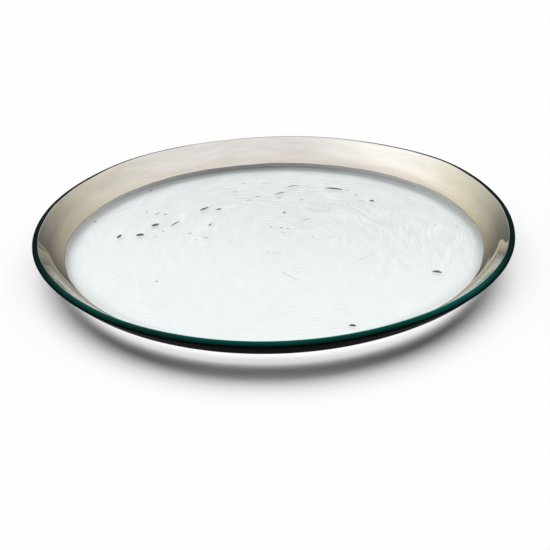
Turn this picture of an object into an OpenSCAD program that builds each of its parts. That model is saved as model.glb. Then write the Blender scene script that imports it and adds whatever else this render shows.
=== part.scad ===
// Charger plate: one sheet of clear glass, slumped to a shallow dish with a flat well and a
// rising rim, and a band of metal fired onto the upper face of that rim.
// The plate stands on its flat underside, centred on the origin, with Z up.

/* [Plate] */
// Diameter over the round outer edge
plate_diameter = 330; // [240:1:420]
// Thickness of the glass sheet, the same from the centre to the edge
glass_thickness = 4.6; // [3:0.1:8]

/* [Rim] */
// Radius of the bend between well and rim, on its upper face
bend_radius = 40; // [20:1:60]
// Slope of the rim above the level well, in degrees
rim_slope = 42.5; // [20:0.5:60]
// Straight length of the rim between the bend and the round edge
lip_length = 9.4; // [3:0.1:20]

/* [Metal band] */
// Width of the band, seen from above
band_width = 17.8; // [6:0.1:30]
// Thickness of the band
band_thickness = 0.25; // [0.1:0.05:0.6]
// How far the band turns over the round edge, in degrees
band_wrap = 7.5; // [2.5:2.5:90]

/* [Hidden] */

// Steps in the turn about the plate's axis, and in each arc of the cross-section
$fn = 180;
arc_steps = 24;

// The outer edge is ground to a half round, as thick as the sheet
edge_radius = glass_thickness / 2;

// The rim bends up about a centre that stands over the end of the flat well
bend_middle = bend_radius + edge_radius;
rim_reach = bend_middle * sin(rim_slope) + lip_length * cos(rim_slope) + edge_radius;
well_radius = plate_diameter / 2 - rim_reach;
bend_centre = [well_radius, glass_thickness + bend_radius];

// Unit steps across the rim, out through its underside, and along it, up the slope
across_rim = [sin(rim_slope), -cos(rim_slope)];
along_rim = [cos(rim_slope), sin(rim_slope)];
edge_centre = bend_centre + bend_middle * across_rim + lip_length * along_rim;

// The round edge runs through half a turn, and the band covers its first stretch from the upper face
edge_start = rim_slope + 180;
band_end = edge_start - band_wrap;
wrap_steps = max(1, round(arc_steps * band_wrap / 180));
band_edge_radius = edge_radius + band_thickness;
band_outer_radius = edge_centre.x + band_edge_radius * sin(band_end);
band_inner_radius = band_outer_radius - band_width;
band_top = edge_centre.y + band_edge_radius;

// Points of an arc, from one angle to another, counted from straight below its centre
function arc(centre, radius, from, to, steps = arc_steps) = [
    for (i = [0 : steps])
        let (a = from + (to - from) * i / steps)
            centre + radius * [sin(a), -cos(a)]
];

// Half of the glass's cross-section: out along the underside, round the edge, and back to the axis
module glass_section() {
    polygon(concat(
        [[0, 0]],
        arc(bend_centre, bend_radius + glass_thickness, 0, rim_slope),
        arc(edge_centre, edge_radius, rim_slope, edge_start),
        arc(bend_centre, bend_radius, rim_slope, 0),
        [[0, glass_thickness]]
    ));
}

// A layer as thick as the band on the glass's upper face, from the axis to the band's outer edge
module layer_section() {
    polygon(concat(
        [[0, glass_thickness]],
        arc(bend_centre, bend_radius, 0, rim_slope),
        arc(edge_centre, edge_radius, edge_start, band_end, wrap_steps),
        arc(edge_centre, band_edge_radius, band_end, edge_start, wrap_steps),
        arc(bend_centre, bend_radius - band_thickness, rim_slope, 0),
        [[0, glass_thickness + band_thickness]]
    ));
}

// The sheet of glass: flat well, bent rim and half-round edge
module glass_plate() {
    color([0.80, 0.90, 0.88, 0.55])
        rotate_extrude()
            glass_section();
}

// The fired metal band, lying face to face on the rim as far as the start of its round edge
module metal_band() {
    color([0.72, 0.69, 0.64])
        rotate_extrude()
            intersection() {
                layer_section();
                translate([band_inner_radius, 0])
                    square([band_width, band_top]);
            }
}

glass_plate();
metal_band();
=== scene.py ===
"""Charger plate: a slumped sheet of clear glass with a metal band fired onto its rim.

Everything is in metres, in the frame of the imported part: +Z up, the plate's flat underside on z = 0.
"""

import math

import bpy
import numpy as np
from mathutils import Matrix, Vector


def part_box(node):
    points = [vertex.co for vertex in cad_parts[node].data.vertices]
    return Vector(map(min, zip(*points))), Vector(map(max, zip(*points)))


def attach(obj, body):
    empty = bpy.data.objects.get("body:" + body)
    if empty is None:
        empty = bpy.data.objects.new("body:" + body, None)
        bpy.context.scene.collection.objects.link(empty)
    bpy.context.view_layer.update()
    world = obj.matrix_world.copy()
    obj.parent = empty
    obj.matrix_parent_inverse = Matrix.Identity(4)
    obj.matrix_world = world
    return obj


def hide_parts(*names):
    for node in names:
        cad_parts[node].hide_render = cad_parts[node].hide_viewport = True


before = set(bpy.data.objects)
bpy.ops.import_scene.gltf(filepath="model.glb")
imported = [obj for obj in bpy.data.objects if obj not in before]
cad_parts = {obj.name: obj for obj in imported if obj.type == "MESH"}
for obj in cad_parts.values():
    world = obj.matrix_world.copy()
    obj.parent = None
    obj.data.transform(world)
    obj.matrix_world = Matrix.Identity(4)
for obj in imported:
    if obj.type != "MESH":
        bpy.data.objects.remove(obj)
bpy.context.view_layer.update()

# Sizes of the plate, as in the part's source
PLATE_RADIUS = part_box("glass_plate")[1][0]
GLASS_THICKNESS = 0.0046
BEND_RADIUS = 0.040
RIM_SLOPE = math.radians(42.5)
LIP_LENGTH = 0.0094
BAND_WIDTH = 0.0178
BAND_THICKNESS = 0.00025
BAND_WRAP = math.radians(7.5)

EDGE_RADIUS = GLASS_THICKNESS / 2
BEND_MIDDLE = BEND_RADIUS + EDGE_RADIUS
RIM_REACH = BEND_MIDDLE * math.sin(RIM_SLOPE) + LIP_LENGTH * math.cos(RIM_SLOPE) + EDGE_RADIUS
WELL_RADIUS = PLATE_RADIUS - RIM_REACH
BEND_CENTRE = np.array([WELL_RADIUS, GLASS_THICKNESS + BEND_RADIUS])
ACROSS_RIM = np.array([math.sin(RIM_SLOPE), -math.cos(RIM_SLOPE)])
ALONG_RIM = np.array([math.cos(RIM_SLOPE), math.sin(RIM_SLOPE)])
EDGE_CENTRE = BEND_CENTRE + BEND_MIDDLE * ACROSS_RIM + LIP_LENGTH * ALONG_RIM

# Distances along the upper face, from the end of the flat well
LIP_START = BEND_RADIUS * RIM_SLOPE
NOSE_START = LIP_START + LIP_LENGTH
BAND_END = NOSE_START + EDGE_RADIUS * BAND_WRAP
BAND_OUTER = EDGE_CENTRE[0] - (EDGE_RADIUS + BAND_THICKNESS) * math.sin(RIM_SLOPE - BAND_WRAP)
BAND_START = BEND_RADIUS * math.asin((BAND_OUTER - BAND_WIDTH - WELL_RADIUS) / BEND_RADIUS)

# Slow waves of the hand-slumped rim: azimuth and half width in degrees, then metres outwards and metres up,
# both at the edge
RIM_WAVES = (
    (40, 14, 0.0017, 0.0004),
    (0, 16, -0.0008, 0.0000),
    (100, 14, -0.0006, -0.0004),
    (130, 10, 0.0006, 0.0002),
    (212, 18, -0.0008, 0.0002),
    (268, 26, -0.0001, -0.0005),
    (300, 14, 0.0000, 0.0003),
)

# How far the edge has sunk, all round
RIM_DROP = 0.00044

# Fine ripples of the upper face: height in hundredths of a millimetre, waves round the plate, radians for
# each metre outwards, and phase
RIPPLES = (
    (1.6, 11, 150, 0.4),
    (1.1, 23, -210, 1.9),
    (0.7, 41, 330, 4.0),
)

# The polished edge's dark skin, painted with the edge's light and shade: how far it stands out of the glass,
# how far down the bend it reaches, and how much teal painted light it has where light comes through the edge,
# as azimuth and half width in degrees and an amount
EDGE_SKIN = 0.00003
SKIN_END = math.radians(29)
EDGE_PAINTED_LIGHT = (
    (-46, 19, 0.85),
    (-92, 30, 0.75),
    (-138, 18, 0.40),
)

# Fineness of the meshes
AROUND = 448
THETA = np.arange(AROUND) * (2 * math.pi / AROUND)

# Bending of light by the glass
GLASS_IOR = 1.52

# Reflectance of the white table
PAPER_WHITE = 0.93

# The photograph's frame and lens, in pixels
FRAME_PIXELS = 550
FOCAL_PIXELS = 2179.5

# Seeds drawn out in the glass of the well, as seen in the photograph: pixels of the two ends, how far the
# middle is bowed upwards and the thickness, both in pixels, and the darkness from 0 to 1
SEEDS = np.array((
    (117.2, 238.3, 121.3, 234.4, 0.0, 2.5, 0.90),
    (136.1, 235.6, 144.5, 234.4, 0.3, 4.0, 0.90),
    (151.4, 226.5, 159.4, 223.7, 0.3, 3.6, 0.90),
    (154.5, 236.9, 156.7, 236.2, 0.0, 1.5, 0.40),
    (154.0, 215.0, 160.6, 212.4, 0.0, 1.4, 0.40),
    (163.5, 214.8, 167.5, 213.8, 0.0, 1.4, 0.55),
    (145.3, 211.9, 148.4, 211.4, 0.0, 1.2, 0.25),
    (149.7, 191.7, 152.4, 190.7, 0.0, 1.5, 0.60),
    (92.8, 223.2, 95.8, 221.6, 0.0, 1.5, 0.50),
    (170.3, 226.7, 180.5, 220.6, 0.3, 1.3, 0.70),
    (162.1, 231.8, 164.2, 230.8, 0.0, 1.2, 0.30),
    (199.4, 210.9, 209.6, 206.8, 0.3, 2.2, 0.85),
    (209.6, 206.8, 213.7, 205.6, 0.0, 0.8, 0.30),
    (216.2, 209.7, 221.3, 208.4, 0.0, 2.6, 0.80),
    (208.4, 226.0, 211.6, 223.4, 0.0, 1.6, 0.60),
    (189.0, 234.4, 191.4, 232.6, 0.0, 1.3, 0.40),
    (202.4, 238.5, 209.4, 237.7, 0.3, 1.3, 0.50),
    (194.3, 240.0, 196.8, 239.3, 0.0, 1.2, 0.30),
    (155.3, 281.6, 158.1, 281.1, 0.0, 1.5, 0.50),
    (233.0, 192.5, 236.1, 191.3, 0.0, 1.2, 0.30),
    (241.2, 184.2, 246.8, 183.2, 0.2, 0.9, 0.40),
    (259.6, 183.6, 271.8, 183.4, 0.4, 0.8, 0.25),
    (245.3, 201.5, 253.5, 199.5, 0.3, 1.0, 0.30),
    (255.0, 197.4, 261.6, 195.4, 0.2, 1.2, 0.50),
    (273.9, 194.6, 285.6, 192.0, 0.4, 1.5, 0.75),
    (276.4, 198.5, 281.5, 197.4, 0.0, 1.5, 0.50),
    (299.9, 200.2, 303.0, 199.7, 0.0, 1.3, 0.50),
    (285.6, 187.2, 300.4, 185.9, 0.8, 1.5, 0.65),
    (300.4, 185.9, 316.7, 188.5, 0.5, 0.8, 0.25),
    (323.9, 188.0, 343.8, 189.8, 0.5, 2.4, 0.95),
    (345.8, 189.8, 348.8, 190.2, 0.0, 1.2, 0.45),
    (354.7, 194.4, 357.7, 195.2, 0.0, 1.3, 0.50),
    (369.3, 200.0, 373.9, 201.5, 0.2, 2.5, 0.80),
    (356.5, 200.7, 365.7, 201.2, 0.3, 0.9, 0.20),
    (346.8, 204.6, 348.9, 204.2, 0.0, 1.2, 0.35),
    (282.8, 213.2, 285.9, 211.7, 0.0, 1.8, 0.65),
    (249.9, 211.6, 251.6, 210.7, 0.0, 1.2, 0.30),
    (302.4, 220.6, 311.1, 218.3, 0.3, 1.1, 0.35),
    (270.3, 227.4, 272.3, 226.8, 0.0, 1.3, 0.50),
    (279.5, 228.1, 283.1, 227.4, 0.0, 1.5, 0.60),
    (286.6, 228.8, 289.2, 228.1, 0.0, 1.4, 0.60),
    (281.0, 232.1, 285.6, 232.6, 0.0, 1.1, 0.25),
    (311.6, 236.4, 313.7, 237.2, 0.0, 1.1, 0.30),
    (266.7, 252.2, 268.6, 251.5, 0.0, 1.1, 0.30),
    (326.4, 228.0, 328.4, 227.6, 0.0, 1.1, 0.25),
    (332.0, 237.1, 334.0, 236.7, 0.0, 1.1, 0.25),
    (328.0, 208.9, 330.0, 208.4, 0.0, 1.1, 0.30),
    (357.6, 260.9, 374.9, 253.8, 0.4, 0.7, 0.15),
    (280.0, 270.1, 299.4, 280.8, -0.6, 0.8, 0.15),
    (434.4, 225.0, 436.4, 224.4, 0.0, 1.2, 0.35),
    (456.2, 226.5, 458.4, 225.9, 0.0, 1.2, 0.35),
    (431.8, 271.6, 442.0, 273.0, 0.9, 3.2, 0.90),
    (391.0, 212.3, 393.0, 211.7, 0.0, 1.1, 0.25),
    (390.5, 215.5, 392.5, 214.9, 0.0, 1.1, 0.25),
    (348.5, 326.0, 356.5, 326.0, 0.8, 3.0, 1.00),
    (90.9, 276.0, 92.5, 275.4, 0.0, 1.0, 0.20),
    (119.5, 276.0, 121.1, 275.4, 0.0, 1.0, 0.20),
))


def smooth_step(x):
    """0 below 0, 1 above 1, and a smooth cubic between."""
    x = np.clip(x, 0, 1)
    return x * x * (3 - 2 * x)


def arc(centre, radius, start, end, steps):
    """Points of an arc as (radius, height), with angles counted from straight below its centre."""
    a = np.linspace(start, end, steps + 1)
    return centre + radius * np.stack([np.sin(a), -np.cos(a)], -1)


def line(start, end, steps):
    """Evenly spaced points from start to end."""
    u = np.linspace(0, 1, steps + 1)[:, None]
    return np.asarray(start) * (1 - u) + np.asarray(end) * u


def upper_face(s):
    """Radius, height and slope of the upper face at distance s beyond the flat well.

    The face is an arc, then a straight lip, then the round edge, so its slope rises, stays and falls again.
    """
    slope = np.minimum(s / BEND_RADIUS, RIM_SLOPE) - np.maximum(s - NOSE_START, 0) / EDGE_RADIUS
    along_lip = np.clip(s - LIP_START, 0, LIP_LENGTH)
    on_nose = s > NOSE_START
    radius = np.where(on_nose, -EDGE_RADIUS, BEND_RADIUS)
    centre_r = np.where(on_nose, EDGE_CENTRE[0], BEND_CENTRE[0] + along_lip * ALONG_RIM[0])
    centre_z = np.where(on_nose, EDGE_CENTRE[1], BEND_CENTRE[1] + along_lip * ALONG_RIM[1])
    return centre_r + radius * np.sin(slope), centre_z - radius * np.cos(slope), slope


def bell(theta, azimuth, width):
    """exp(-(turn / width) squared), where turn is the way round from an azimuth to theta.

    The azimuth and the width are in degrees, theta in radians.
    """
    turn = (theta - math.radians(azimuth) + math.pi) % (2 * math.pi) - math.pi
    return np.exp(-((turn / math.radians(width)) ** 2))


def slumped(r, z, theta):
    """Places (r, z) at angle theta as (x, y, z), with the slow waves of a hand-slumped rim.

    Each wave is a bell in azimuth. It grows smoothly from nothing at the flat well to its full size at the
    edge, and so do the sinking of the edge and the room that is left for its skin.
    """
    share = smooth_step((r - WELL_RADIUS) / (PLATE_RADIUS - WELL_RADIUS))
    out, up = 0 * theta - EDGE_SKIN, 0 * theta - RIM_DROP
    for azimuth, width, outwards, upwards in RIM_WAVES:
        out = out + outwards * bell(theta, azimuth, width)
        up = up + upwards * bell(theta, azimuth, width)
    r = r + share * out
    return np.stack([r * np.cos(theta), r * np.sin(theta), z + share * up], -1)


def ripple(r, theta):
    """Height of the fine ripples on the upper face.

    Three sets of crossing waves drift outwards. On the rim one small crumpled place lies at the right, and at
    the left the face sags by (t - t cubed), where t runs from 0 to 1 across the band. These two places are an
    azimuth and a half width in degrees.
    """
    hundredth, calm_middle = 0.00001, 0.04
    crumple_place, crumple_height, crumple_radius, crumple_length = (-8, 5), 5.0, 0.1573, 0.0075
    crumple_start, crumple_growth = 0.145, 0.006
    sag_place, sag_depth = (184, 14), 85
    wave = sum(
        height * np.sin(turns * theta + outwards * r + phase) for height, turns, outwards, phase in RIPPLES)
    fold = np.cos(2 * math.pi * (r - crumple_radius) / crumple_length)
    crumple = crumple_height * bell(theta, *crumple_place) * fold
    t = np.clip((r - BAND_OUTER + BAND_WIDTH) / BAND_WIDTH, 0, 1)
    sag = sag_depth * bell(theta, *sag_place) * (t - t ** 3)
    wave = wave * smooth_step(r / calm_middle)
    return hundredth * (wave + crumple * smooth_step((r - crumple_start) / crumple_growth) - sag)


def ring_faces(rings, loop, around=AROUND):
    """Quads between neighbouring rings of points; with loop, the last ring meets the first."""
    i = np.arange(rings if loop else rings - 1)[:, None]
    j = np.arange(around)[None, :]
    here, beyond = i * around, (i + 1) % rings * around
    after = (j + 1) % around
    return np.stack([here + j, beyond + j, beyond + after, here + after], -1).reshape(-1, 4)


def fan_faces(ring, pole, around=AROUND):
    """Triangles from one ring, given by its first point's number, to a pole."""
    j = np.arange(around)
    return np.stack([ring + j, ring + (j + 1) % around, np.full(around, pole)], -1)


def add_piece(name, points, faces, material):
    """Makes a smooth mesh object from arrays of points and faces."""
    mesh = bpy.data.meshes.new(name)
    mesh.from_pydata(points.reshape(-1, 3).tolist(), [], faces)
    mesh.shade_smooth()
    mesh.materials.append(material)
    piece = bpy.data.objects.new(name, mesh)
    bpy.context.collection.objects.link(piece)
    return piece


def add_values(piece, name, values):
    """Stores one number for each point of a piece, for its material to read."""
    layer = piece.data.attributes.new(name, "FLOAT", "POINT")
    layer.data.foreach_set("value", np.asarray(values, np.float32).ravel())


# Shader helpers


def put(tree, kind, inputs=None, **settings):
    """Adds a node, sets its properties and fills its inputs: sockets are linked, plain values are set."""
    made = tree.nodes.new(kind)
    for name, value in settings.items():
        setattr(made, name, value)
    for key, value in (inputs or {}).items():
        if isinstance(value, bpy.types.NodeSocket):
            tree.links.new(value, made.inputs[key])
        else:
            made.inputs[key].default_value = value
    return made


def calc(tree, operation, *values):
    """A Math node's result."""
    return put(tree, "ShaderNodeMath", dict(enumerate(values)), operation=operation).outputs[0]


def ramp(tree, value, low, high, to_low=0.0, to_high=1.0):
    """Value carried from low..high to to_low..to_high, with smooth ends."""
    inputs = {"Value": value, 1: low, 2: high, 3: to_low, 4: to_high}
    return put(tree, "ShaderNodeMapRange", inputs, interpolation_type="SMOOTHSTEP").outputs[0]


def mixed(tree, factor, a, b, blend="MIX"):
    """Colour a blended with colour b."""
    made = put(tree, "ShaderNodeMix", data_type="RGBA", blend_type=blend)
    for key, value in ((0, factor), (6, a), (7, b)):
        if isinstance(value, bpy.types.NodeSocket):
            tree.links.new(value, made.inputs[key])
        else:
            made.inputs[key].default_value = value
    return made.outputs[2]


def stored(tree, name):
    """A piece's stored number."""
    return put(tree, "ShaderNodeAttribute", attribute_name=name).outputs["Fac"]


def new_material(name):
    """An empty node material and its output node."""
    material = bpy.data.materials.new(name)
    material.use_nodes = True
    tree = material.node_tree
    tree.nodes.clear()
    return material, tree, tree.nodes.new("ShaderNodeOutputMaterial")


def ring_streaks():
    """A group that gives streaks drawn out round the plate's axis, from 0 to 1.

    Noise is read at (Turns x / r, Turns y / r, Fineness r + Wander times a slow noise), so few Turns make
    long streaks, with no seam.
    """
    group = bpy.data.node_groups.new("ring_streaks", "ShaderNodeTree")
    face = group.interface
    face.new_socket("Position", in_out="INPUT", socket_type="NodeSocketVector")
    face.new_socket("Turns", in_out="INPUT", socket_type="NodeSocketFloat")
    face.new_socket("Fineness", in_out="INPUT", socket_type="NodeSocketFloat")
    face.new_socket("Wander", in_out="INPUT", socket_type="NodeSocketFloat")
    face.new_socket("Streak", in_out="OUTPUT", socket_type="NodeSocketFloat")
    given = group.nodes.new("NodeGroupInput").outputs
    x, y, _ = put(group, "ShaderNodeSeparateXYZ", {0: given["Position"]}).outputs
    square = calc(group, "ADD", calc(group, "MULTIPLY", x, x), calc(group, "MULTIPLY", y, y))
    radius = calc(group, "MAXIMUM", calc(group, "POWER", square, 0.5), 1e-4)
    turn = calc(group, "DIVIDE", given["Turns"], radius)
    drift = put(group, "ShaderNodeTexNoise", {
        "Vector": given["Position"], "Scale": 18.0, "Detail": 1.0,
    }).outputs[0]
    wander = calc(group, "MULTIPLY", drift, given["Wander"])
    place = put(group, "ShaderNodeCombineXYZ", {
        0: calc(group, "MULTIPLY", x, turn),
        1: calc(group, "MULTIPLY", y, turn),
        2: calc(group, "MULTIPLY_ADD", radius, given["Fineness"], wander),
    }).outputs[0]
    noise = put(group, "ShaderNodeTexNoise", {
        "Vector": place, "Scale": 1.0, "Detail": 4.0, "Roughness": 0.6,
    }).outputs[0]
    out = group.nodes.new("NodeGroupOutput")
    group.links.new(ramp(group, noise, 0.30, 0.70), out.inputs["Streak"])
    return group


STREAKS = ring_streaks()


def streaks(tree, turns, fineness, wander):
    """The streaks at each point of a piece."""
    position = put(tree, "ShaderNodeTexCoord").outputs["Object"]
    made = put(tree, "ShaderNodeGroup", node_tree=STREAKS)
    tree.links.new(position, made.inputs["Position"])
    for name, value in (("Turns", turns), ("Fineness", fineness), ("Wander", wander)):
        made.inputs[name].default_value = value
    return made.outputs["Streak"]


# Materials


def clear_glass():
    """Faintly green sheet glass with drawn-out swirls, and painted shade.

    The swirls dim it more towards the back and the right, as painted shade, and a painted shadow of the band
    lies under the back of its rim.
    """
    material, tree, out = new_material("clear_glass")
    swirl = streaks(tree, turns=6.0, fineness=600.0, wander=22.0)
    position = put(tree, "ShaderNodeTexCoord").outputs["Object"]
    x, y, _ = put(tree, "ShaderNodeSeparateXYZ", {0: position}).outputs
    # Painted shade: the swirls dim the glass a quarter as much at the front as towards the back and the right
    amount = ramp(tree, calc(tree, "MULTIPLY_ADD", x, 0.35, y), -0.06, 0.12, 0.25, 1.0)
    dimmed = calc(tree, "MULTIPLY", calc(tree, "SUBTRACT", 1.0, swirl), amount)
    # The well's tint is partly the glass's faint green and partly painted shade, for light the glass would
    # take from the softbox
    well = mixed(tree, dimmed, (1, 1, 1, 1), (0.79, 0.825, 0.815, 1))
    shader = put(tree, "ShaderNodeBsdfPrincipled", {
        # Painted shadow: the glass is tinted dark grey where the band's shadow on the table would show
        # through the bend
        "Base Color": mixed(tree, stored(tree, "painted_shadow"), well, (0.09, 0.10, 0.095, 1)),
        "Roughness": 0.0,
        "IOR": GLASS_IOR,
        "Transmission Weight": 1.0,
        "Normal": put(tree, "ShaderNodeBump", {
            "Height": swirl, "Strength": 0.12, "Distance": 0.0002,
        }).outputs[0],
    })
    absorption = put(tree, "ShaderNodeVolumeAbsorption", {"Color": (0.0, 0.62, 0.62, 1), "Density": 9.0})
    tree.links.new(shader.outputs[0], out.inputs["Surface"])
    tree.links.new(absorption.outputs[0], out.inputs["Volume"])
    return material


def edge_light_and_shade():
    """An opaque skin with the glass edge's light and shade painted on: teal light above, and black shade
    below.
    """
    material, tree, out = new_material("edge_light_and_shade")
    streak = streaks(tree, turns=4.0, fineness=1500.0, wander=3.0)
    # Painted light: teal where the stored amount says light comes through the edge, near black elsewhere
    tone = mixed(tree, stored(tree, "teal"), (0.002, 0.006, 0.008, 1), (0.003, 0.125, 0.098, 1))
    tone = mixed(tree, calc(tree, "MULTIPLY", streak, 0.40), tone, (0.002, 0.012, 0.013, 1))
    shader = put(tree, "ShaderNodeBsdfPrincipled", {
        # Painted shade: black on the lower side of the edge
        "Base Color": mixed(tree, stored(tree, "under"), tone, (0.004, 0.005, 0.005, 1)),
        "Roughness": ramp(tree, streak, 0.0, 1.0, 0.08, 0.14),
        "Specular IOR Level": 0.004,
    })
    tree.links.new(shader.outputs[0], out.inputs["Surface"])
    return material


def dark_seed():
    """Dark teal, uneven, and as dense as each seed's stored darkness; the seeds are real, their dark look
    painted shade.
    """
    material, tree, out = new_material("dark_seed")
    position = put(tree, "ShaderNodeTexCoord").outputs["Object"]
    uneven = put(tree, "ShaderNodeTexNoise", {"Vector": position, "Scale": 900.0, "Detail": 2.0}).outputs[0]
    patches = ramp(tree, uneven, 0.35, 0.65)
    shader = put(tree, "ShaderNodeBsdfPrincipled", {
        # The seeds are real; their dark teal colour is painted shade and painted dark reflections
        "Base Color": mixed(tree, patches, (0.010, 0.050, 0.042, 1), (0.050, 0.125, 0.105, 1)),
        "Roughness": 0.25,
        "Alpha": calc(tree, "MULTIPLY", stored(tree, "darkness"), 0.8),
    })
    tree.links.new(shader.outputs[0], out.inputs["Surface"])
    return material


def fired_metal():
    """Warm grey metal film, brushed on round the rim: beige where it is thin, near its inner border."""
    material, tree, out = new_material("fired_metal")
    across = stored(tree, "across")
    brush = streaks(tree, turns=5.0, fineness=330.0, wander=3.0)
    cloud = streaks(tree, turns=4.0, fineness=200.0, wander=3.0)
    tone = mixed(tree, ramp(tree, across, 0.0, 0.60), (0.560, 0.505, 0.435, 1), (0.605, 0.590, 0.570, 1))
    tone = mixed(tree, calc(tree, "MULTIPLY", cloud, 0.45), tone, (0.49, 0.450, 0.400, 1))
    tone = mixed(tree, calc(tree, "MULTIPLY", brush, 0.22), tone, (0.70, 0.685, 0.67, 1))
    shader = put(tree, "ShaderNodeBsdfPrincipled", {
        "Base Color": mixed(tree, stored(tree, "backing"), tone, (0.02, 0.02, 0.02, 1)),
        "Metallic": 1.0,
        "Roughness": ramp(tree, cloud, 0.0, 1.0, 0.02, 0.07),
        "Normal": put(tree, "ShaderNodeBump", {
            "Height": brush, "Strength": 0.05, "Distance": 0.0002,
        }).outputs[0],
    })
    tree.links.new(shader.outputs[0], out.inputs["Surface"])
    return material


def white_table():
    """Plain white paper."""
    material, tree, out = new_material("white_table")
    shader = put(tree, "ShaderNodeBsdfDiffuse", {"Color": (PAPER_WHITE, PAPER_WHITE, PAPER_WHITE, 1)})
    tree.links.new(shader.outputs[0], out.inputs["Surface"])
    return material


# Pieces


def glass_plate():
    """The sheet as a closed surface of revolution.

    The half section runs from the axis out along the upper face, round the edge and back along the underside.
    """
    well, bend, lip, nose, base = 80, 24, 6, 20, 30
    foot_of_bend = BEND_CENTRE + (BEND_RADIUS + GLASS_THICKNESS) * ACROSS_RIM
    foot_of_lip = foot_of_bend + LIP_LENGTH * ALONG_RIM
    top_of_bend = BEND_CENTRE + BEND_RADIUS * ACROSS_RIM
    section = np.concatenate([
        line((0, GLASS_THICKNESS), (WELL_RADIUS, GLASS_THICKNESS), well)[1:],
        arc(BEND_CENTRE, BEND_RADIUS, 0, RIM_SLOPE, bend)[1:],
        line(top_of_bend, top_of_bend + LIP_LENGTH * ALONG_RIM, lip)[1:],
        arc(EDGE_CENTRE, EDGE_RADIUS, RIM_SLOPE + math.pi, RIM_SLOPE, nose)[1:],
        line(foot_of_lip, foot_of_bend, lip)[1:],
        arc(BEND_CENTRE, BEND_RADIUS + GLASS_THICKNESS, RIM_SLOPE, 0, bend)[1:],
        line((WELL_RADIUS, 0), (0, 0), base)[1:-1],
    ])
    rings = slumped(section[:, :1], section[:, 1:], THETA[None, :])
    count, upper = len(section), well + bend + lip
    rings[:upper, :, 2] += ripple(section[:upper, :1], THETA[None, :])
    poles = np.array([[0, 0, GLASS_THICKNESS], [0, 0, 0]])
    points = np.concatenate([rings.reshape(-1, 3), poles])
    top, bottom = count * AROUND, count * AROUND + 1
    faces = ring_faces(count, False).tolist()
    faces += fan_faces(0, top).tolist()
    faces += fan_faces((count - 1) * AROUND, bottom)[:, ::-1].tolist()
    piece = add_piece("slumped_glass", points, faces, clear_glass())
    # A painted shadow of the band lies under the back of the rim, and shows through the bend as a dark line
    # along the band. It is faint on the flatter part of the bend, and full where the slope in degrees is past
    # full_slope.
    shadow_azimuth, shadow_width, faint, faint_slope, full_slope, full_growth = 100, 70, 0.26, 18, 19.0, 2.0
    slope = np.degrees(np.linspace(RIM_SLOPE, 0, bend + 1)[1:])
    full = smooth_step((slope - full_slope) / full_growth)
    under_bend = upper + nose + lip
    painted_shadow = np.zeros(count)
    painted_shadow[under_bend:under_bend + bend] = faint * smooth_step(slope / faint_slope) + (1 - faint) * full
    painted_shadow = painted_shadow[:, None] * bell(THETA, shadow_azimuth, shadow_width)
    add_values(piece, "painted_shadow", np.concatenate([painted_shadow.ravel(), [0, 0]]))
    return piece


def edge_path(lift):
    """Half section, at a lift off the glass, over the round edge and back under the lip and the bend.

    With it comes how far each point lies under the edge, from 0 on top to 1 below: how far the skin is
    painted black there, as painted shade.
    """
    nose, lip, bend = 24, 4, 8
    black_start, black_growth = 0.48, 0.32
    lower_radius = BEND_RADIUS + GLASS_THICKNESS + lift
    foot = BEND_CENTRE + lower_radius * ACROSS_RIM
    section = np.concatenate([
        arc(EDGE_CENTRE, EDGE_RADIUS + lift, RIM_SLOPE + math.pi, RIM_SLOPE, nose),
        line(foot + LIP_LENGTH * ALONG_RIM, foot, lip)[1:],
        arc(BEND_CENTRE, lower_radius, RIM_SLOPE, SKIN_END, bend)[1:],
    ])
    under = np.ones(len(section))
    under[:nose + 1] = smooth_step((np.linspace(0, 1, nose + 1) - black_start) / black_growth)
    return section, under


def painted_edge_skin():
    """The edge's dark skin, a thin closed shell with painted light and shade.

    It runs along the outside of the glass, and back just within it.
    """
    least_painted_light = 0.03
    outside, under = edge_path(EDGE_SKIN)
    inside = edge_path(-EDGE_SKIN)[0]
    section = np.concatenate([outside, inside[::-1]])
    points = slumped(section[:, :1], section[:, 1:], THETA[None, :])
    piece = add_piece("painted_edge_skin", points, ring_faces(len(section), True).tolist(), edge_light_and_shade())
    # Painted light: teal along the front, where light comes through the edge, and little elsewhere
    teal = least_painted_light + sum(amount * bell(THETA, azimuth, width) for azimuth, width, amount in EDGE_PAINTED_LIGHT)
    add_values(piece, "teal", np.tile(teal, len(section)))
    add_values(piece, "under", np.repeat(np.concatenate([under, under[::-1]]), AROUND))
    return piece


def metal_band():
    """The band as a thin closed strip that follows the glass's upper face to the start of its round edge.

    Each half section runs outwards at its full height above the glass, and back just inside the glass. Both
    borders wander a little, as a brush leaves them, and at the back the outer one reaches over the edge.
    """
    across, above, below = 40, 0.00010, -0.00003
    slow_wander, fine_wander, outer_wander = 0.00015, 0.00010, 0.00022
    overreach, overreach_azimuth, overreach_width = 0.0021, 92, 52
    u = np.concatenate([np.linspace(0, 1, across), np.linspace(1, 0, across)])[:, None]
    lift = np.concatenate([np.full(across, above), np.full(across, below)])[:, None]
    theta = THETA[None, :]
    inner = BAND_START + slow_wander * np.sin(13 * theta + 0.7) + fine_wander * np.sin(37 * theta)
    outer = BAND_END - outer_wander * (1 + np.sin(19 * theta + 1.1) * np.sin(7 * theta))
    outer = outer + overreach * bell(theta, overreach_azimuth, overreach_width)
    r, z, slope = upper_face(inner + (outer - inner) * u)
    points = slumped(r - lift * np.sin(slope), z + lift * np.cos(slope), theta)
    points[..., 2] += ripple(r, theta) * smooth_step((EDGE_CENTRE[0] - r) / EDGE_RADIUS)
    faces = ring_faces(2 * across, True).tolist()
    piece = add_piece("fired_band", points, faces, fired_metal())
    add_values(piece, "backing", (lift < 0) + 0 * theta)
    add_values(piece, "across", u + 0 * theta)
    return piece


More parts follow.
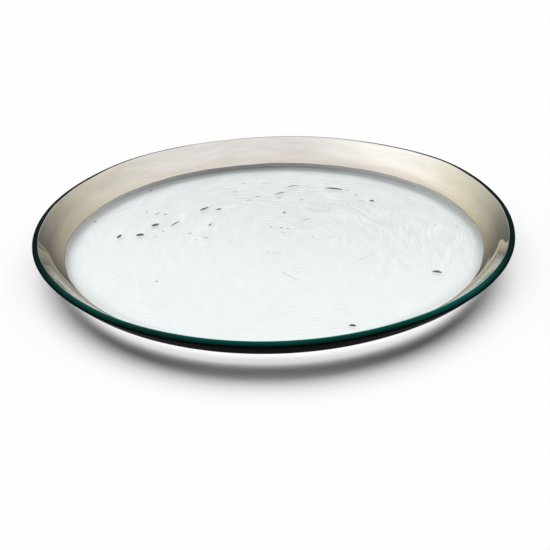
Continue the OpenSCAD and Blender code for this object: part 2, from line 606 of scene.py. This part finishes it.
def seen_in_well(camera, pixels, depth):
    """Where the view through each pixel meets the level that lies at a depth below the well's upper face.

    The view runs straight to that face and is bent there, as a ray is that enters glass.
    """
    turn = np.array(camera.matrix_world.to_3x3())
    eye = np.array(camera.matrix_world.translation)
    across = (pixels - FRAME_PIXELS / 2) * (1, -1) / FOCAL_PIXELS
    ray = np.concatenate([across, np.full(across.shape[:-1] + (1,), -1.0)], -1) @ turn.T
    ray = ray / np.linalg.norm(ray, axis=-1, keepdims=True)
    on_face = eye + ray * ((GLASS_THICKNESS - eye[2]) / ray[..., 2:])
    level = ray[..., :2] / GLASS_IOR
    return on_face[..., :2] + depth * level / np.sqrt(1 - (level ** 2).sum(-1, keepdims=True))


def glass_seeds(camera):
    """The seeds as closed spindles in one mesh, each on a bowed line a little below the well's upper face.

    Across its line a spindle is an ellipse, wider than high. Its size goes as (sin pi u) to the power taper,
    where u runs from 0 to 1 along the line, and its half height stays within a share of its depth.
    """
    stations, around, depth, flatness = 7, 8, 0.0012, 0.5
    fullness, taper, depth_share = 0.75, 0.7, 0.8
    start, end = SEEDS[:, 0:2], SEEDS[:, 2:4]
    bow, thickness, darkness = SEEDS[:, 4], SEEDS[:, 5], SEEDS[:, 6]
    middle = (start + end) / 2 - np.stack([0 * bow, bow], -1)
    u = np.linspace(0, 1, stations + 2)[None, :, None]
    start, middle, end = (seen_in_well(camera, pixels, depth)[:, None, :] for pixels in (start, middle, end))
    way = start * (1 - u) * (1 - 2 * u) + middle * 4 * u * (1 - u) + end * u * (2 * u - 1)
    along = (end - start) / np.linalg.norm(end - start, axis=-1, keepdims=True)
    side = np.stack([-along[..., 1], along[..., 0]], -1)
    pixel = np.linalg.norm(np.array(camera.matrix_world.translation)) / FOCAL_PIXELS
    half = (fullness * thickness[:, None] * pixel) * np.sin(math.pi * u[..., 0]) ** taper
    half = half[:, 1:-1, None]
    turn = np.arange(around) * (2 * math.pi / around)
    flat = way[:, 1:-1, None, :] + (half * np.cos(turn))[..., None] * side[:, :, None, :]
    height = GLASS_THICKNESS - depth + np.minimum(flatness * half, depth_share * depth) * np.sin(turn)
    rings = np.concatenate([flat, height[..., None]], -1).reshape(len(SEEDS), -1, 3)
    poles = np.concatenate([way[:, [0, -1]], np.full((len(SEEDS), 2, 1), GLASS_THICKNESS - depth)], -1)
    points = np.concatenate([rings, poles], 1)
    first = points.shape[1] * np.arange(len(SEEDS))[:, None, None]
    body, last = stations * around, (stations - 1) * around
    tips = np.concatenate([fan_faces(0, body, around), fan_faces(last, body + 1, around)[:, ::-1]])
    faces = (first + ring_faces(stations, False, around)).reshape(-1, 4).tolist()
    faces += (first + tips).reshape(-1, 3).tolist()
    piece = add_piece("glass_seeds", points, faces, dark_seed())
    add_values(piece, "darkness", np.repeat(darkness, points.shape[1]))
    return piece


def table():
    """The white surface that the plate stands on: one wide square, a hair below z = 0."""
    reach, drop = 30.0, 0.0002
    corners = np.array([
        [-reach, -reach, -drop],
        [reach, -reach, -drop],
        [reach, reach, -drop],
        [-reach, reach, -drop],
    ])
    piece = add_piece("table", corners, [[0, 1, 2, 3]], white_table())
    piece.visible_glossy = False
    return piece


# Studio


def studio_light():
    """A dome of soft light, brightest overhead and to the left, and dim in front and at the horizon.

    Mirrors see the dome at its full strength, and below its brink a pale sweep. All other light is weaker,
    and a straight view past the table is white.
    """
    world = bpy.data.worlds.new("studio")
    world.use_nodes = True
    tree = world.node_tree
    tree.nodes.clear()
    out = tree.nodes.new("ShaderNodeOutputWorld")
    direction = put(tree, "ShaderNodeTexCoord").outputs["Generated"]
    x, y, z = put(tree, "ShaderNodeSeparateXYZ", {0: direction}).outputs
    aside = calc(tree, "ABSOLUTE", x)
    rays = put(tree, "ShaderNodeLightPath").outputs

    # The dome's level, by height and by side
    dome = ramp(tree, z, 0.0, 0.95, 0.16, 1.25)
    front = ramp(tree, calc(tree, "ARCTAN2", y, z), -0.75, -0.30, 0.10, 1.0)
    left = ramp(tree, x, -0.55, -0.15, 1.35, 1.0)
    behind = ramp(tree, aside, 0.06, 0.30, 0.90, 1.0)
    behind = put(tree, "ShaderNodeMix", {0: ramp(tree, z, 0.45, 0.70), 2: behind, 3: 1.0}).outputs[0]
    above = calc(tree, "MULTIPLY", calc(tree, "MULTIPLY", dome, front), calc(tree, "MULTIPLY", left, behind))

    # The sweep's level: it is brightest along its brink, fades downwards, and has a slanting left side
    brink = ramp(tree, x, -0.32, -0.13, 0.155, 0.07)
    depth = calc(tree, "SUBTRACT", brink, z)
    top_line = ramp(tree, depth, 0.0, 0.03, 0.22, 0.0)
    sweep = calc(tree, "ADD", ramp(tree, z, -0.14, -0.02, 0.0, 0.36), top_line)
    sweep = calc(tree, "MULTIPLY", sweep, ramp(tree, x, 0.0, 0.10, 1.0, 0.70))
    beside = calc(tree, "LESS_THAN", calc(tree, "MULTIPLY_ADD", z, 0.764, x), -0.165)
    over = calc(tree, "MAXIMUM", calc(tree, "LESS_THAN", depth, 0.0), beside)
    level = put(tree, "ShaderNodeMix", {0: over, 2: sweep, 3: above}).outputs[0]

    # The share of it that mirrors, light through glass and all other light get, and a warm tint in mirrors
    direct = calc(tree, "LESS_THAN", rays["Diffuse Depth"], 0.5)
    mirrored = calc(tree, "MULTIPLY", rays["Is Glossy Ray"], direct)
    weaker = put(tree, "ShaderNodeMix", {0: rays["Is Transmission Ray"], 2: 0.42, 3: 0.48}).outputs[0]
    share = put(tree, "ShaderNodeMix", {0: mirrored, 2: weaker, 3: 1.0}).outputs[0]
    plain = calc(tree, "MAXIMUM", ramp(tree, z, 0.45, 0.98), ramp(tree, aside, 0.10, 0.30, 1.0, 0.0))
    tint = mixed(tree, plain, (1.0, 0.965, 0.80, 1), (1, 1, 1, 1))
    tint = mixed(tree, mirrored, (1, 1, 1, 1), tint)
    strength = calc(tree, "MULTIPLY", level, share)
    lamp = put(tree, "ShaderNodeBackground", {"Color": tint, "Strength": strength})

    # White for the camera, also straight through glass
    white = put(tree, "ShaderNodeBackground", {"Color": (1, 1, 1, 1), "Strength": 1.0})
    bounces = calc(tree, "ADD", rays["Glossy Depth"], rays["Diffuse Depth"])
    unturned = calc(tree, "LESS_THAN", bounces, 0.5)
    straight = calc(tree, "MULTIPLY", rays["Is Transmission Ray"], unturned)
    seen = calc(tree, "MAXIMUM", rays["Is Camera Ray"], straight)
    both = put(tree, "ShaderNodeMixShader", {0: seen, 1: lamp.outputs[0], 2: white.outputs[0]})
    tree.links.new(both.outputs[0], out.inputs["Surface"])
    bpy.context.scene.world = world


def shadow_caster(band):
    """A copy of the band that only stops the softbox's light, drawn in at the sides and out at the front.

    Its inner part is left out, and a point at height z moves from x to x (1 - inwards z) and from y to
    y - outwards (z + base) (back - y).
    """
    inwards, outwards, base, back, inner_radius = 3.2, 0.70, 0.016, 0.14, 0.1462
    mesh = band.data.copy()
    points = np.empty((len(mesh.vertices), 3), np.float32)
    mesh.vertices.foreach_get("co", points.ravel())
    points[:, :2] *= np.maximum(1, inner_radius / np.hypot(points[:, :1], points[:, 1:2]))
    points[:, 0] *= 1 - inwards * points[:, 2]
    points[:, 1] -= outwards * (points[:, 2] + base) * (back - points[:, 1])
    mesh.vertices.foreach_set("co", points.ravel())
    piece = bpy.data.objects.new("shadow_caster", mesh)
    piece.visible_camera = False
    piece.visible_diffuse = False
    piece.visible_glossy = False
    piece.visible_transmission = False
    bpy.context.collection.objects.link(piece)
    return piece


def softbox(receivers, blocker):
    """A wide soft lamp, far off behind the plate, that lights the table and the dark edge.

    Only the blocker throws a shadow in its light, since glass lets it through.
    """
    share, spread, lean_back = 0.66, math.radians(60), math.radians(33)
    towards = Vector((0, math.sin(lean_back), math.cos(lean_back)))
    data = bpy.data.lights.new("softbox", "SUN")
    data.angle = spread
    data.energy = share * math.pi / (PAPER_WHITE * towards.z)
    lamp = bpy.data.objects.new("softbox", data)
    lamp.matrix_world = towards.to_track_quat("Z", "Y").to_matrix().to_4x4()
    lamp.light_linking.receiver_collection = bpy.data.collections.new("lit_by_softbox")
    for receiver in receivers:
        lamp.light_linking.receiver_collection.objects.link(receiver)
    lamp.light_linking.blocker_collection = bpy.data.collections.new("shades_softbox")
    lamp.light_linking.blocker_collection.objects.link(blocker)
    bpy.context.collection.objects.link(lamp)


def photo_camera():
    """A long lens from a little above the table, rolled slightly, as the photograph was taken."""
    distance, elevation, roll = 1.5, math.radians(25.96), math.radians(-1.67)
    aim = Vector((0.0, -0.0277, 0.0))
    data = bpy.data.cameras.new("photo_camera")
    data.sensor_width = 36.0
    data.lens = data.sensor_width * FOCAL_PIXELS / FRAME_PIXELS
    camera = bpy.data.objects.new("photo_camera", data)
    place = distance * Vector((0, -math.cos(elevation), math.sin(elevation)))
    turn = (aim - place).to_track_quat("-Z", "Y").to_matrix().to_4x4()
    camera.matrix_world = Matrix.Translation(place) @ turn @ Matrix.Rotation(roll, 4, "Z")
    bpy.context.collection.objects.link(camera)
    bpy.context.scene.camera = camera
    return camera


camera = photo_camera()
studio_light()
paper = table()

glass = glass_plate()
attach(glass, "root")
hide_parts("glass_plate")

band = metal_band()
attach(band, "root")
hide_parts("metal_band")

seeds = glass_seeds(camera)
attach(seeds, "root")

edge = painted_edge_skin()
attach(edge, "root")

shade = shadow_caster(band)
softbox((paper, edge), shade)

scene = bpy.context.scene
scene.view_settings.view_transform = "Standard"

# Light bounces many times inside the sheet, and its sharp glints are kept
scene.cycles.max_bounces = 32
scene.cycles.glossy_bounces = 24
scene.cycles.transmission_bounces = 24
scene.cycles.blur_glossy = 0.0
